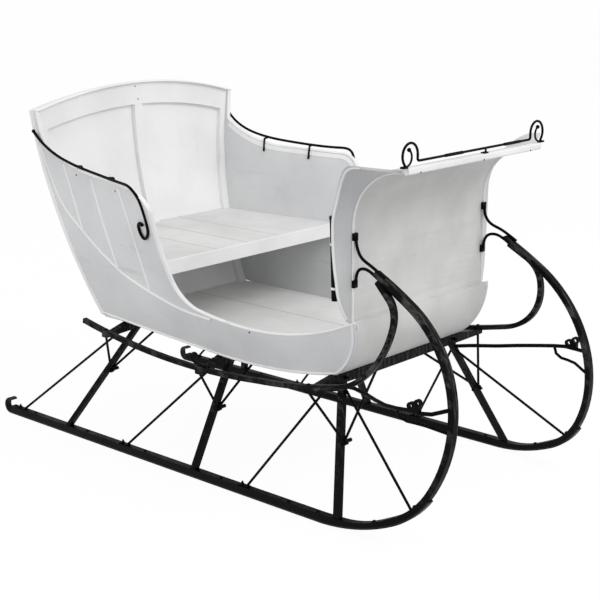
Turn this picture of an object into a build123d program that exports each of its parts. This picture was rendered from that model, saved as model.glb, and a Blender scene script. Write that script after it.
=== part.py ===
from build123d import *
import os
from math import asin, atan2, cos, degrees, radians, sin, sqrt, tan

os.makedirs("parts", exist_ok=True)

# One-horse sleigh. Millimetres. +X is forward (the end the horse goes to),
# +Y is the sleigh's left, +Z is up. The runners stand on Z = 0, and the
# origin lies under the middle of the length and width.

# Driving sizes
track_half = 475        # ground line of a runner from the centre line
runner_width = 26       # across the runner
runner_depth = 24       # wood above the shoe on the straight run
bend_depth = 20         # wood round the bend, where it is shaved thinner
shoe_thick = 6          # iron shoe
rod_radius = 4.5        # brace and stay rods
rave_size = 17          # square side rail
rave_half = 450         # side rail from the centre line, on its level part
post_size = 22          # square knee post
beam_width = 28         # bench beam, fore and aft
beam_depth = 33         # bench beam, up and down
panel_thick = 14        # body side boards
back_thick = 12         # bent back panel
floor_bottom = 446      # underside of the floor, on the rear and front beams
floor_thick = 12
side_foot = 375         # outside half width of the body at side_foot_height
side_foot_height = 450
front_taper = 0.057     # narrowing of the body for each mm ahead of the side joint
joint_x = -22           # joint between rear and front side boards
dash_x = 611            # front face of the upright part of the dash
dash_half = 360         # half width of the dash board
seat_top = 735
seat_thick = 20
seat_front = -149
fit_gap = 0.3           # clearance beside curved faces

runner_top_z = shoe_thick + runner_depth
sides = [("right", -1), ("left", 1)]
made = {}               # finished pieces that later ones are fitted against


# outward lean of the sides for each mm of height, at places along the body
side_leans = [          # x, lean
    (-980, 0.166),
    (-802, 0.166),
    (-630, 0.179),
    (-460, 0.219),
    (-300, 0.279),
    (-160, 0.350),
    (joint_x, 0.356),
    (738, 0.150),
]


def side_half(x, height):
    """Outside half width of the body at a place and height."""
    for (x1, lean1), (x2, lean2) in zip(side_leans, side_leans[1:]):
        if x1 <= x <= x2:
            lean = lean1 + (lean2 - lean1) * (x - x1) / (x2 - x1)
    foot = side_foot - front_taper * max(0, x - joint_x)
    return foot + lean * (height - side_foot_height)


# Runners
bend_start = 603        # where the straight run ends
bend_arcs = [           # radius, turn in degrees, from the ground upwards
    (624, 25.4),
    (271, 37.1),
    (423, 84.3),
    (1473, 3.2),
]
tip_length = 84         # the runner's end is shaved down over this length
tip_depth = 11
post_seat = 670         # the top stays flat this far forward under the post
tail_x = -1007.6           # rear end of the runner wood
lean_start = 25         # the runner starts leaning inwards at this height
lean_radius = 400
lean_angle = 8.6
lean_top = 900          # above the top of the bend
runner_toe = 0.071      # the bends draw together this much for each mm forward
curl_radius = 31        # outside of the shoe's tail curl
curl_turn = 205
shoe_bend = 32          # degrees of the second bend covered by the shoe
far_ahead = 1400        # well past the front of the runners


def runner_half(x, height):
    """Middle of a runner from the centre line, at a place and height."""
    angle = radians(lean_angle)
    arc_top = lean_start + lean_radius * sin(angle)
    lean = 0
    if height > arc_top:
        lean = lean_radius * (1 - cos(angle)) + (height - arc_top) * tan(angle)
    elif height > lean_start:
        lean = lean_radius - sqrt(lean_radius ** 2 - (height - lean_start) ** 2)
    return track_half - runner_toe * max(0, x - bend_start) - lean


for side, sign in sides:
    with BuildPart() as runner:
        with BuildSketch(Plane.XZ):
            with BuildLine():
                bottom = Line((tail_x, shoe_thick), (bend_start, shoe_thick))
                out1 = JernArc(bottom @ 1, bottom % 1, bend_arcs[0][0], bend_arcs[0][1])
                out2 = JernArc(out1 @ 1, out1 % 1, bend_arcs[1][0], bend_arcs[1][1])
                out3 = JernArc(out2 @ 1, out2 % 1, bend_arcs[2][0], bend_arcs[2][1])
                tip_turn = degrees(tip_length / bend_arcs[3][0])
                out4 = JernArc(out3 @ 1, out3 % 1, bend_arcs[3][0], bend_arcs[3][1] + tip_turn)
                turn = radians(bend_arcs[0][1])
                knee = (out1 @ 1) + (out1 % 1).rotate(Axis.Z, 90) * bend_depth
                run = knee.X - post_seat
                rise = knee.Y - runner_top_z
                inner_radius = (rise * cos(turn) - run * sin(turn)) / (cos(turn) - 1)
                top = Line((tail_x, runner_top_z), (post_seat, runner_top_z))
                in1 = JernArc(top @ 1, top % 1, inner_radius, bend_arcs[0][1])
                Line(in1 @ 1, knee)
                in2 = JernArc(knee, out1 % 1, bend_arcs[1][0] - bend_depth, bend_arcs[1][1])
                in3 = JernArc(in2 @ 1, in2 % 1, bend_arcs[2][0] - bend_depth, bend_arcs[2][1])
                in4 = JernArc(in3 @ 1, in3 % 1, bend_arcs[3][0] - bend_depth, bend_arcs[3][1])
                tip = (out4 @ 1) + (out4 % 1).rotate(Axis.Z, 90) * tip_depth
                Line(out4 @ 1, tip)
                Line(tip, in4 @ 1)
                Line(bottom @ 0, top @ 0)
                last_bend = out4.arc_center
            make_face()
        extrude(amount=600, both=True)
        with BuildPart(mode=Mode.PRIVATE) as lean_band:
            with BuildSketch(Plane.YZ.offset(bend_start)) as lean_face:
                with BuildLine():
                    ends = []
                    for offset in (-runner_width / 2, runner_width / 2):
                        foot = sign * (track_half + offset)
                        up = Line((foot, -5), (foot, lean_start))
                        arc = JernArc(up @ 1, up % 1, lean_radius, sign * lean_angle)
                        reach = (lean_top - (arc @ 1).Y) / (arc % 1).Y
                        slope = Line(arc @ 1, (arc @ 1) + (arc % 1) * reach)
                        ends.append((up @ 0, slope @ 1))
                    Line(ends[0][0], ends[1][0])
                    Line(ends[0][1], ends[1][1])
                make_face()
            toe = Vector(1, -sign * runner_toe, 0)
            extrude(lean_face.sketch, amount=toe.length * far_ahead, dir=toe.normalized())
            extrude(lean_face.sketch, amount=-2 * far_ahead)
        add(lean_band.part, mode=Mode.INTERSECT)
    runner.part.label = f"runner_{side}"
    export_step(runner.part, f"parts/runner_{side}.step")
    made["runner", side] = runner.part

    # iron shoe under the wood, curled over behind the tail
    with BuildPart() as shoe:
        with BuildSketch(Plane.XZ):
            with BuildLine():
                curl_x = tail_x - 4
                run_low = Line((bend_start, 0), (curl_x, 0))
                curl_out = JernArc(run_low @ 1, run_low % 1, curl_radius, -curl_turn)
                run_high = Line((bend_start, shoe_thick), (curl_x, shoe_thick))
                curl_in = JernArc(run_high @ 1, run_high % 1, curl_radius - shoe_thick, -curl_turn)
                Line(curl_out @ 1, curl_in @ 1)
                low1 = JernArc((bend_start, 0), (1, 0), bend_arcs[0][0] + shoe_thick, bend_arcs[0][1])
                low2 = JernArc(low1 @ 1, low1 % 1, bend_arcs[1][0] + shoe_thick, shoe_bend)
                high1 = JernArc((bend_start, shoe_thick), (1, 0), bend_arcs[0][0], bend_arcs[0][1])
                high2 = JernArc(high1 @ 1, high1 % 1, bend_arcs[1][0], shoe_bend)
                Line(low2 @ 1, high2 @ 1)
            make_face()
        extrude(amount=600, both=True)
        add(lean_band.part, mode=Mode.INTERSECT)
    shoe.part.label = f"shoe_{side}"
    export_step(shoe.part, f"parts/shoe_{side}.step")

# Raves: square side rails, swept up under the runner tops
rave_sag_radius = 2900
rave_low_x = 11
rave_low_z = 388        # middle of the rail at its lowest place
rave_tail_x = -580
rave_rise_x = 647       # the rail turns up here
rave_rise_radius = 217.4
rave_tip_run = 2.6      # degrees the rail follows the runner before it ends
rave_tip_share = 0.1    # the inner half of the rail left at its end
rave_splay_x = 300      # the rails spread apart ahead of here
rave_splay = 0.0765
rave_lean_from = 440    # and lean inwards above this height
rave_lean = 0.345

tip_room = bend_arcs[3][0] - bend_depth - fit_gap - rave_size / 2
sag_start = degrees(asin((rave_tail_x - rave_low_x) / rave_sag_radius))
sag_end = degrees(asin((rave_rise_x - rave_low_x) / rave_sag_radius))
rise_z = rave_low_z + rave_sag_radius * (1 - cos(radians(sag_end)))
front_x = rave_rise_x + rave_rise_radius * (1 - sin(radians(sag_end)))
front_z = rise_z + rave_rise_radius * cos(radians(sag_end))
# the arc over the top starts at the rail's front and ends tangent to the runner
over_x = front_x - last_bend.X
over_z = front_z - last_bend.Y
rave_tip_radius = (tip_room ** 2 - over_x ** 2 - over_z ** 2) / (2 * (tip_room - over_x))
tip_angle = degrees(atan2(over_z, over_x - rave_tip_radius))


def rave_at(x):
    """Middle of the level part of the rave from the centre line."""
    return rave_half + rave_splay * max(0, x - rave_splay_x)


def rave_height(x):
    """Centre height of the level part of the rave."""
    return rave_low_z + rave_sag_radius - sqrt(rave_sag_radius ** 2 - (x - rave_low_x) ** 2)


for side, sign in sides:
    with BuildPart() as rave:
        with BuildSketch(Plane.XZ):
            with BuildLine():
                edges = []
                for offset in (-rave_size / 2, rave_size / 2):
                    heading = Vector(cos(radians(sag_start)), sin(radians(sag_start)))
                    begin = Vector(rave_tail_x, rave_height(rave_tail_x))
                    begin += heading.rotate(Axis.Z, 90) * offset
                    sag = JernArc(begin, heading, rave_sag_radius - offset, sag_end - sag_start)
                    rise = JernArc(sag @ 1, sag % 1, rave_rise_radius - offset, 90 - sag_end)
                    tip = JernArc(rise @ 1, rise % 1, rave_tip_radius - offset, tip_angle)
                    run = JernArc(tip @ 1, tip % 1, tip_room - offset, rave_tip_run, mode=Mode.PRIVATE)
                    if offset < 0:
                        add(run)
                        end = run @ 1
                    else:
                        end = (run @ 1) - (run % 1).rotate(Axis.Z, 90) * offset * (1 - rave_tip_share)
                        Line(run @ 0, end)
                    edges.append((begin, end))
                Line(edges[0][0], edges[1][0])
                Line(edges[0][1], edges[1][1])
            make_face()
        extrude(amount=600, both=True)
        with BuildPart(mode=Mode.PRIVATE) as rave_band:
            with BuildSketch(Plane.YZ.offset(rave_splay_x)) as rave_face:
                with BuildLine():
                    half = rave_size / 2
                    top_half = rave_half - rave_lean * (lean_top - rave_lean_from)
                    Polyline(
                        (sign * (rave_half - half), 300),
                        (sign * (rave_half - half), rave_lean_from),
                        (sign * (top_half - half), lean_top),
                        (sign * (top_half + half), lean_top),
                        (sign * (rave_half + half), rave_lean_from),
                        (sign * (rave_half + half), 300),
                        close=True,
                    )
                make_face()
            splay = Vector(1, sign * rave_splay, 0)
            extrude(rave_face.sketch, amount=splay.length * far_ahead, dir=splay.normalized())
            with BuildSketch(Plane.YZ.offset(rave_splay_x)) as level_face:
                with Locations((sign * rave_half, 400)):
                    Rectangle(rave_size, 200)
            extrude(level_face.sketch, amount=-far_ahead)
        add(rave_band.part, mode=Mode.INTERSECT)
    rave.part.label = f"rave_{side}"
    export_step(rave.part, f"parts/rave_{side}.step")
    made["rave", side] = rave.part

# Benches: three beams and their posts
post_top_half = 300     # post centre at the beam's underside
beam_flat_half = 342    # the beam is level this far out, then drops to the rave
rave_seat = 3           # depth the rave is let into the end of a beam
benches = [             # name, beam x, beam top z, post foot x, height of the knee iron's foot
    ("rear", -462, 446, -661, 251),
    ("mid", 19, 413, 13, 229),
    ("front", 529, 446, 656, 243),
]
beam_tip_depth = 15     # the beam is cut thinner at its ends
beam_over = 8           # the beam reaches this far past the middle of the rave

for bench, beam_x, beam_z, foot_x, foot_z in benches:
    end_z = rave_height(beam_x) - rave_size / 2 + rave_seat
    beam_end = rave_at(beam_x) + beam_over
    with BuildPart() as beam:
        with BuildSketch(Plane.YZ.offset(beam_x - beam_width / 2)):
            with BuildLine():
                Polyline(
                    (-beam_end, end_z - beam_tip_depth),
                    (-beam_end, end_z),
                    (-rave_at(beam_x) + rave_size, end_z),
                    (-beam_flat_half, beam_z),
                    (beam_flat_half, beam_z),
                    (rave_at(beam_x) - rave_size, end_z),
                    (beam_end, end_z),
                    (beam_end, end_z - beam_tip_depth),
                    (beam_flat_half, beam_z - beam_depth),
                    (-beam_flat_half, beam_z - beam_depth),
                    close=True,
                )
            make_face()
        extrude(amount=beam_width)
        add(made["rave", "right"], mode=Mode.SUBTRACT)
        add(made["rave", "left"], mode=Mode.SUBTRACT)
    beam.part.label = f"beam_{bench}"
    export_step(beam.part, f"parts/beam_{bench}.step")
    made["beam", bench] = beam.part

    for side, sign in sides:
        head = Vector(beam_x, sign * post_top_half, beam_z - beam_depth)
        base = Vector(foot_x, sign * runner_half(foot_x, runner_top_z), runner_top_z)
        with BuildPart() as post:
            with BuildSketch(Plane.XY.offset(runner_top_z)):
                with Locations((base.X, base.Y)):
                    Rectangle(post_size, post_size)
            extrude(amount=(head - base).length, dir=(head - base).normalized())
        post.part.label = f"post_{bench}_{side}"
        export_step(post.part, f"parts/post_{bench}_{side}.step")
        made["post", bench, side] = post.part

# Knee irons: a foot on the post, one arm to the rave and one to the beam
foot_radius = 11
foot_stand = 9          # how far the foot stands in front of the post
stub_radius = 6.5       # bolt end that stands out inwards beside the post
stub_length = 34
inner_arm_half = 110    # where the inner arm meets the beam

for bench, beam_x, beam_z, foot_x, foot_z in benches:
    share = (foot_z - runner_top_z) / (beam_z - beam_depth - runner_top_z)
    iron_x = foot_x + (beam_x - foot_x) * share
    base_half = runner_half(foot_x, runner_top_z)
    iron_half = base_half + (post_top_half - base_half) * share
    for side, sign in sides:
        start = Vector(iron_x + post_size / 2 + rod_radius, sign * iron_half, foot_z)
        arms = [
            Vector(beam_x, sign * rave_at(beam_x), rave_height(beam_x) - rave_size),
            Vector(beam_x, sign * inner_arm_half, beam_z - beam_depth / 2),
        ]
        with BuildPart() as iron:
            with BuildSketch(Plane(origin=(iron_x, start.Y, foot_z), z_dir=(1, 0, 0))):
                Circle(foot_radius)
            extrude(amount=post_size / 2 + foot_stand)
            with BuildSketch(Plane(origin=start, z_dir=(0, -sign, 0))):
                Circle(stub_radius)
            extrude(amount=stub_length)
            for arm_end in arms:
                with BuildSketch(Plane(origin=start, z_dir=arm_end - start)):
                    Circle(rod_radius)
                extrude(amount=(arm_end - start).length)
            add(made["post", bench, side], mode=Mode.SUBTRACT)
            add(made["beam", bench], mode=Mode.SUBTRACT)
            add(made["rave", side], mode=Mode.SUBTRACT)
        iron.part.label = f"knee_iron_{bench}_{side}"
        export_step(iron.part, f"parts/knee_iron_{bench}_{side}.step")
        made["iron", bench, side] = iron.part

# Stays: rods from the beams down to the runners
stays = [               # name, bench, upper end: ahead of the beam, half width, below its top; lower x and z
    ("rear", "rear", 0, 345, 17, -948, 20),
    ("mid", "mid", 0, 345, 17, -348, 20),
    ("front", "front", 0, 345, 17, 253, 20),
    ("fore", "front", 8, 300, 49, 920, 124),
]

for stay_name, bench, ahead, high_half, drop, low_x, low_z in stays:
    beam_x, beam_z = [(row[1], row[2]) for row in benches if row[0] == bench][0]
    for side, sign in sides:
        high = Vector(beam_x + ahead, sign * high_half, beam_z - drop)
        low = Vector(low_x, sign * runner_half(low_x, low_z), low_z)
        with BuildPart() as stay:
            with BuildSketch(Plane(origin=high, z_dir=low - high)):
                Circle(rod_radius)
            extrude(amount=(low - high).length)
            add(made["beam", bench], mode=Mode.SUBTRACT)
            add(made["post", bench, side], mode=Mode.SUBTRACT)
            add(made["runner", side], mode=Mode.SUBTRACT)
        stay.part.label = f"stay_{stay_name}_{side}"
        export_step(stay.part, f"parts/stay_{stay_name}_{side}.step")
        made["stay", stay_name, side] = stay.part

# Shaft bars: irons with two eyes for the shafts
bar_radius = 6.5
branch_radius = 5
eye_radius = 13
eye_bore = 7
eye_width = 14
bar_path = [            # x, half width, z
    (529, 302, 400),
    (600, 325, 411),
    (680, 362, 417),
    (745, 400, 423),
    (805, 430, 428),
    (863, 446, 435),
    (905, 449, 440),
    (955, 446, 439),
    (985, 436, 441),
    (1024, 392, 452),
]
branch_path = [
    (863, 446, 435),
    (873, 444, 410),
    (897, 438, 400),
    (927, 433, 399),
    (959, 426, 396),
    (1022, 398, 378),
]
eye_half = 448
eyes = [(919, 456), (944, 469)]     # x, z of each eye
lug_mid = (930, 449)                # plate that joins the eyes to the bar
lug_size = (44, 22)

for side, sign in sides:
    with BuildPart() as bar:
        for path, radius in ((bar_path, bar_radius), (branch_path, branch_radius)):
            with BuildLine() as spine:
                Polyline(*[(x, sign * half, z) for x, half, z in path])
            with BuildSketch(Plane(origin=spine.line @ 0, z_dir=spine.line % 0)):
                Circle(radius)
            sweep(path=spine.line, transition=Transition.ROUND)
        with BuildSketch(Plane.XZ.offset(-sign * eye_half)):
            for eye_x, eye_z in eyes:
                with Locations((eye_x, eye_z)):
                    Circle(eye_radius)
            with Locations(lug_mid):
                Rectangle(*lug_size)
        extrude(amount=eye_width / 2, both=True)
        with BuildSketch(Plane.XZ.offset(-sign * eye_half)):
            for eye_x, eye_z in eyes:
                with Locations((eye_x, eye_z)):
                    Circle(eye_bore)
        extrude(amount=eye_width, both=True, mode=Mode.SUBTRACT)
        add(made["post", "front", side], mode=Mode.SUBTRACT)
        add(made["beam", "front"], mode=Mode.SUBTRACT)
        add(made["iron", "front", side], mode=Mode.SUBTRACT)
        add(made["stay", "fore", side], mode=Mode.SUBTRACT)
        add(made["runner", side], mode=Mode.SUBTRACT)
    bar.part.label = f"shaft_bar_{side}"
    export_step(bar.part, f"parts/shaft_bar_{side}.step")

# Dash irons: a scroll off the runner top, a hook off the rave
scroll_radius = 5
pad_half = 349
scroll_path = [         # x, half width, z
    (744, 364, 803),
    (716, 362, 819),
    (676, 360, 838),
    (645, 354, 852),
    (629, 350, 870),
    (621, 349, 893),
    (621, 349, 912),
]
hook_path = [
    (718, 358, 793),
    (692, 357, 808),
    (660, 354, 817),
    (634, 351, 809),
    (622, 349, 786),
    (621, 349, 762),
]
iron_pad = (10, 18, 24)
irons = [("scroll", scroll_path, "runner"), ("hook", hook_path, "rave")]

for iron_name, path, held_by in irons:
    for side, sign in sides:
        with BuildPart() as iron:
            with BuildLine() as spine:
                Spline(*[(x, sign * half, z) for x, half, z in path])
            with BuildSketch(Plane(origin=spine.line @ 0, z_dir=spine.line % 0)):
                Circle(scroll_radius)
            sweep(path=spine.line)
            with Locations((dash_x + iron_pad[0] / 2, sign * pad_half, path[-1][2])):
                Box(*iron_pad)
            add(made["runner", side], mode=Mode.SUBTRACT)
            add(made["rave", side], mode=Mode.SUBTRACT)
        iron.part.label = f"{iron_name}_iron_{side}"
        export_step(iron.part, f"parts/{iron_name}_iron_{side}.step")

# Body sides
back_radius = 1444      # bend of the back's inner face, seen from the side
back_arc_z = 1215       # height of the bend's centre
back_corner_x = -770    # upper corner of the back's inner face
back_corner_z = 1205
back_arc_x = back_corner_x + sqrt(back_radius ** 2 - (back_corner_z - back_arc_z) ** 2)
slab_low = 300          # the sides and the room between them are cut from slabs this high
slab_high = 1400
toe_start = (538, floor_bottom)     # where the toe board leaves the floor
toe_mid = (608, 523)
toe_top = (630, 640)


def back_x(radius, height):
    """Fore-and-aft place of the bent back at a height."""
    return back_arc_x - sqrt(radius ** 2 - (height - back_arc_z) ** 2)


rear_foot = (back_x(back_radius, 462), 462)
rear_mid = (back_x(back_radius, 800), 800)
rear_head = (back_x(back_radius, back_corner_z), back_corner_z)
head_land = 22          # flat on top of the side beside the back's corner
joint_low = (joint_x, 420)
joint_high = (joint_x, 576)
brow_start = (-736, 1090)
brow_end = (-440, 1000)
shoulder_start = (-205, 990)
shoulder_mid = (-132, 967)
shoulder_end = (-106, 928)
door_mid = (-118, 790)
door_end = (-108, 668)
step_mid = (-78, 612)
rear_stations = [x for x, lean in side_leans if x <= joint_x]
fore_stations = [x for x, lean in side_leans if x >= joint_x]

for side, sign in sides:
    with BuildPart() as side_rear:
        for x in rear_stations:
            with BuildSketch(Plane.YZ.offset(x)):
                with BuildLine():
                    low_out = sign * side_half(x, slab_low)
                    high_out = sign * side_half(x, slab_high)
                    inward = -sign * panel_thick
                    Polyline(
                        (low_out, slab_low),
                        (high_out, slab_high),
                        (high_out + inward, slab_high),
                        (low_out + inward, slab_low),
                        close=True,
                    )
                make_face()
        loft()
        with BuildSketch(Plane.XZ):
            with BuildLine():
                ThreePointArc(rear_foot, rear_mid, rear_head)
                land = Line(rear_head, (rear_head[0] + head_land, back_corner_z))
                drop = Line(land @ 1, brow_start)
                brow = ThreePointArc(brow_start, (-600, 1026), brow_end)
                Line(brow_end, shoulder_start)
                ThreePointArc(shoulder_start, shoulder_mid, shoulder_end)
                ThreePointArc(shoulder_end, door_mid, door_end)
                ThreePointArc(door_end, step_mid, joint_high)
                Line(joint_high, joint_low)
                ThreePointArc(joint_low, (-292, 441), rear_foot)
            make_face()
        extrude(amount=900, both=True, mode=Mode.INTERSECT)
        for bench in ("rear", "mid"):
            add(made["beam", bench], mode=Mode.SUBTRACT)
    side_rear.part.label = f"side_rear_{side}"
    export_step(side_rear.part, f"parts/side_rear_{side}.step")
    made["side_rear", side] = side_rear.part

    with BuildPart() as side_fore:
        for x in fore_stations:
            with BuildSketch(Plane.YZ.offset(x)):
                with BuildLine():
                    low_out = sign * side_half(x, slab_low)
                    high_out = sign * side_half(x, slab_high)
                    inward = -sign * panel_thick
                    Polyline(
                        (low_out, slab_low),
                        (high_out, slab_high),
                        (high_out + inward, slab_high),
                        (low_out + inward, slab_low),
                        close=True,
                    )
                make_face()
        loft()
        with BuildSketch(Plane.XZ):
            with BuildLine():
                ThreePointArc(joint_high, (256, 543), toe_top)
                ThreePointArc(toe_top, toe_mid, toe_start)
                ThreePointArc(toe_start, (200, 408), joint_low)
                Line(joint_low, joint_high)
            make_face()
        extrude(amount=900, both=True, mode=Mode.INTERSECT)
        for bench in ("mid", "front"):
            add(made["beam", bench], mode=Mode.SUBTRACT)
    side_fore.part.label = f"side_fore_{side}"
    export_step(side_fore.part, f"parts/side_fore_{side}.step")


# Everything that lies between the sides is cut to the room between them
def body_room(inset):
    """Room between the inner faces of the sides, drawn in by an inset."""
    with BuildPart() as block:
        for stations in (rear_stations, fore_stations):
            for x in stations:
                low = side_half(x, slab_low) - panel_thick - inset
                high = side_half(x, slab_high) - panel_thick - inset
                with BuildSketch(Plane.YZ.offset(x)):
                    corners = [(-low, slab_low), (low, slab_low), (high, slab_high), (-high, slab_high)]
                    Polygon(*corners, align=None)
            loft()
    return block.part


room = body_room(fit_gap)
floor_top = floor_bottom + floor_thick
floor_rear = back_x(back_radius + back_thick, floor_top)
with BuildPart() as floor_board:
    with BuildSketch(Plane.XY.offset(floor_bottom)):
        with Locations(((floor_rear + toe_start[0]) / 2, 0)):
            Rectangle(toe_start[0] - floor_rear, 900)
    extrude(amount=floor_thick)
    add(room, mode=Mode.INTERSECT)
floor_board.part.label = "floor_board"
export_step(floor_board.part, "parts/floor_board.step")

with BuildPart() as bolster:
    mid_x = benches[1][1]
    mid_top = benches[1][2]
    with BuildSketch(Plane.XY.offset(mid_top)):
        with Locations((mid_x, 0)):
            Rectangle(40, 2 * (side_half(mid_x + 20, mid_top) - panel_thick) - 10)
    extrude(amount=floor_bottom - mid_top)
bolster.part.label = "floor_bolster"
export_step(bolster.part, "parts/floor_bolster.step")

dash_low = 604
with BuildPart() as toe_board:
    with BuildSketch(Plane.XZ):
        with BuildLine():
            ThreePointArc(toe_start, toe_mid, toe_top)
            Line(toe_top, (dash_x, toe_top[1]))
            Line((dash_x, toe_top[1]), (dash_x, dash_low - 4))
            ThreePointArc(
                (dash_x, dash_low - 4),
                (toe_mid[0] - 10, toe_mid[1] + 8),
                (toe_start[0], floor_top),
            )
            Line((toe_start[0], floor_top), toe_start)
        make_face()
    extrude(amount=600, both=True)
    add(room, mode=Mode.INTERSECT)
toe_board.part.label = "toe_board"
export_step(toe_board.part, "parts/toe_board.step")

# Back panel and its inside framing
back_arch_z = 1272
back_base_half = side_half(back_x(back_radius, floor_top), floor_top)
back_head_half = side_half(back_corner_x, back_corner_z)
rail_deep = 84
rib_width = 40
corner_rib_width = 34
frame_thick = 16


def bent_slab(outer_radius, inner_radius, low):
    """Slab between two arcs about the back's bend centre, seen from the side."""
    high = back_arch_z + 30
    middle = (low + high) / 2
    with BuildPart() as slab:
        with BuildSketch(Plane.XZ):
            with BuildLine():
                outer = [(back_x(outer_radius, z), z) for z in (low, middle, high)]
                inner = [(back_x(inner_radius, z), z) for z in (low, middle, high)]
                ThreePointArc(*outer)
                ThreePointArc(*inner)
                Line(outer[0], inner[0])
                Line(outer[2], inner[2])
            make_face()
        extrude(amount=900, both=True)
    return slab.part


with BuildPart() as back_panel:
    add(bent_slab(back_radius + back_thick, back_radius, floor_top))
    with BuildSketch(Plane.YZ):
        with BuildLine():
            Line((-back_base_half, floor_top), (back_base_half, floor_top))
            Line((back_base_half, floor_top), (back_head_half, back_corner_z))
            ThreePointArc((back_head_half, back_corner_z), (0, back_arch_z), (-back_head_half, back_corner_z))
            Line((-back_head_half, back_corner_z), (-back_base_half, floor_top))
        make_face()
    extrude(amount=1400, both=True, mode=Mode.INTERSECT)
back_panel.part.label = "back_panel"
export_step(back_panel.part, "parts/back_panel.step")

with BuildPart() as back_frame:
    add(bent_slab(back_radius, back_radius - frame_thick, floor_top))
    inner_head = back_head_half - panel_thick
    inner_foot = back_base_half - panel_thick
    rib_low = floor_top
    with BuildSketch(Plane.YZ):
        with BuildLine():
            ThreePointArc((inner_head, back_corner_z), (0, back_arch_z), (-inner_head, back_corner_z))
            Line((-inner_head, back_corner_z), (-inner_head, back_corner_z - rail_deep))
            ThreePointArc(
                (-inner_head, back_corner_z - rail_deep),
                (0, back_arch_z - rail_deep),
                (inner_head, back_corner_z - rail_deep),
            )
            Line((inner_head, back_corner_z - rail_deep), (inner_head, back_corner_z))
        make_face()
        rib_high = back_arch_z - rail_deep / 2
        with Locations((0, (rib_low + rib_high) / 2)):
            Rectangle(rib_width, rib_high - rib_low)
        for side, sign in sides:
            with BuildLine():
                Polyline(
                    (sign * (inner_foot + 10), rib_low),
                    (sign * (inner_head + 10), back_corner_z - 20),
                    (sign * (inner_head - corner_rib_width), back_corner_z - 20),
                    (sign * (inner_foot - corner_rib_width), rib_low),
                    close=True,
                )
            make_face()
    extrude(amount=1400, both=True, mode=Mode.INTERSECT)
    add(room, mode=Mode.INTERSECT)
back_frame.part.label = "back_frame"
export_step(back_frame.part, "parts/back_frame.step")

# Strips that stiffen the inside of each side along the door opening
strip_width = 44
strip_thick = 6
strip_core = body_room(fit_gap + strip_thick)
for side, sign in sides:
    with BuildPart() as strip:
        with BuildSketch(Plane.XZ):
            with BuildLine():
                front = ThreePointArc(shoulder_end, door_mid, door_end)
                step = ThreePointArc(front @ 1, step_mid, joint_high)
                foot = Line(step @ 1, (joint_x, floor_top))
                sole = Line(foot @ 1, (joint_x - strip_width, floor_top))
                Line(sole @ 1, (joint_high[0] - strip_width, joint_high[1]))
                heel = ThreePointArc(
                    (joint_high[0] - strip_width, joint_high[1]),
                    (step_mid[0] - strip_width, step_mid[1]),
                    (door_end[0] - strip_width, door_end[1]),
                )
                ThreePointArc(
                    heel @ 1,
                    (door_mid[0] - strip_width, door_mid[1]),
                    (shoulder_end[0] - strip_width, shoulder_end[1]),
                )
                Line((shoulder_end[0] - strip_width, shoulder_end[1]), shoulder_end)
            make_face()
        extrude(amount=-sign * 900)
        add(room, mode=Mode.INTERSECT)
        add(strip_core, mode=Mode.SUBTRACT)
    strip.part.label = f"door_strip_{side}"
    export_step(strip.part, f"parts/door_strip_{side}.step")
    made["strip", side] = strip.part

# Seat, notched round the strips
apron_thick = 16
apron_deep = 48
notch_room = 14
seat_low = seat_top - seat_thick
with BuildPart() as seat_notch:
    with Locations((seat_front, 0, seat_top)):
        Box(2 * notch_room, 1200, 100)
    add(strip_core, mode=Mode.SUBTRACT)
with BuildPart() as seat:
    with BuildSketch(Plane.XZ):
        with BuildLine():
            Polyline(
                (seat_front, seat_low),
                (seat_front, seat_top),
                (back_x(back_radius, seat_top) + 1, seat_top),
                (back_x(back_radius, seat_low) + 1, seat_low),
                close=True,
            )
        make_face()
    extrude(amount=600, both=True)
    add(room, mode=Mode.INTERSECT)
    add(back_frame.part, mode=Mode.SUBTRACT)
    add(seat_notch.part, mode=Mode.SUBTRACT)
seat.part.label = "seat_board"
export_step(seat.part, "parts/seat_board.step")

with BuildPart() as apron:
    with Locations((seat_front + apron_thick / 2, 0, seat_top - apron_deep / 2)):
        Box(apron_thick, 1200, apron_deep)
    add(room, mode=Mode.INTERSECT)
    for side, sign in sides:
        add(made["strip", side], mode=Mode.SUBTRACT)
apron.part.label = "seat_apron"
export_step(apron.part, "parts/seat_apron.step")

cleat_size = 22
cleat_length = 480
cleat_core = body_room(fit_gap + cleat_size)
for side, sign in sides:
    with BuildPart() as cleat:
        with Locations((seat_front - 6 - cleat_length / 2, sign * 450, seat_low - cleat_size / 2)):
            Box(cleat_length, 800, cleat_size)
        add(room, mode=Mode.INTERSECT)
        add(cleat_core, mode=Mode.SUBTRACT)
    cleat.part.label = f"seat_cleat_{side}"
    export_step(cleat.part, f"parts/seat_cleat_{side}.step")

# Dash: board, lip and two side wings
dash_thick = 10
curl_low = 945          # the dash starts to curl forward here
dash_curl = 185
lip_length = 14
lip_size = (16, 22)     # fore and aft, up and down
lip_round = 5
wing_thick = 8
wing_low = 640
wing_reach = 490        # half width at the wing's tip
wing_rake = (-60, 138, 24)      # way the wing runs out from the dash's edge


def dash_profile(front, thick, low, lip):
    """Side view of the curled dash sheet."""
    with BuildSketch() as profile:
        with BuildLine():
            face = Line((front, low), (front, curl_low))
            curl = JernArc(face @ 1, face % 1, dash_curl, -90)
            tongue = Line(curl @ 1, (curl @ 1) + Vector(lip, 0))
            back = Line((front - thick, low), (front - thick, curl_low))
            over = JernArc(back @ 1, back % 1, dash_curl + thick, -90)
            cover = Line(over @ 1, (over @ 1) + Vector(lip, 0))
            Line(face @ 0, back @ 0)
            Line(tongue @ 1, cover @ 1)
        make_face()
    return profile.sketch_local


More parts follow.
